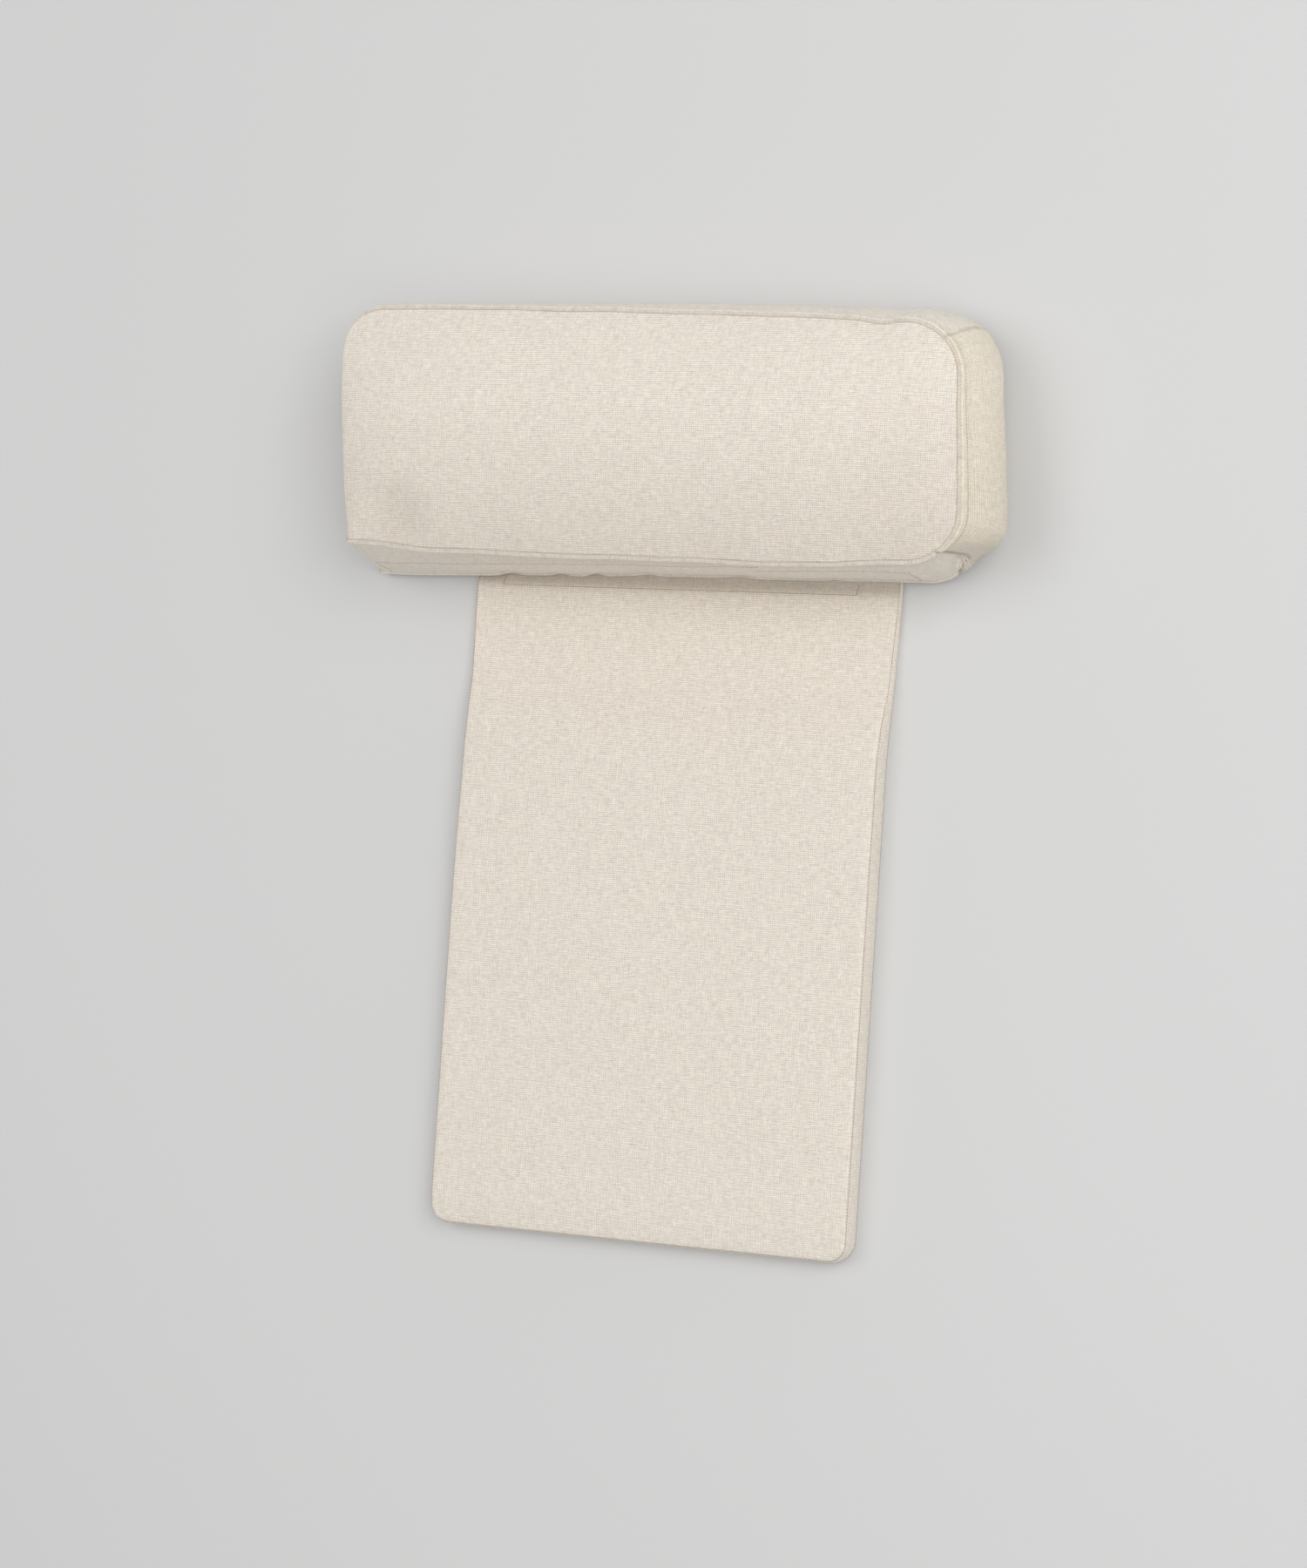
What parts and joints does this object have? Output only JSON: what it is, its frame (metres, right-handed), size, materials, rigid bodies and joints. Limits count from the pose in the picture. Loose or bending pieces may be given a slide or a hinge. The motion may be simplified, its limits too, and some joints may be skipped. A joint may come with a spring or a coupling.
{
  "type": "headrest cushion",
  "caption": "Boxed, filled headrest cushion in pale linen-look cloth on a long padded flap that tucks in behind a sofa's back cushion.",
  "frame": {"origin": "middle of the bounding box on the surface that the headrest lies on", "axes": "+X along the cushion's width, to the right when the front is looked at; +Y from the flap's foot to the cushion's top; +Z out of the front, up while it lies on its back"},
  "size_m": [0.6406, 0.857, 0.1447],
  "materials": {
    "linen_cloth": "matte woven, beige with slubs"
  },
  "bodies": {
    "root": {"headrest_cushion": "linen_cloth", "insert_flap": "linen_cloth"}
  },
  "joints": []
}
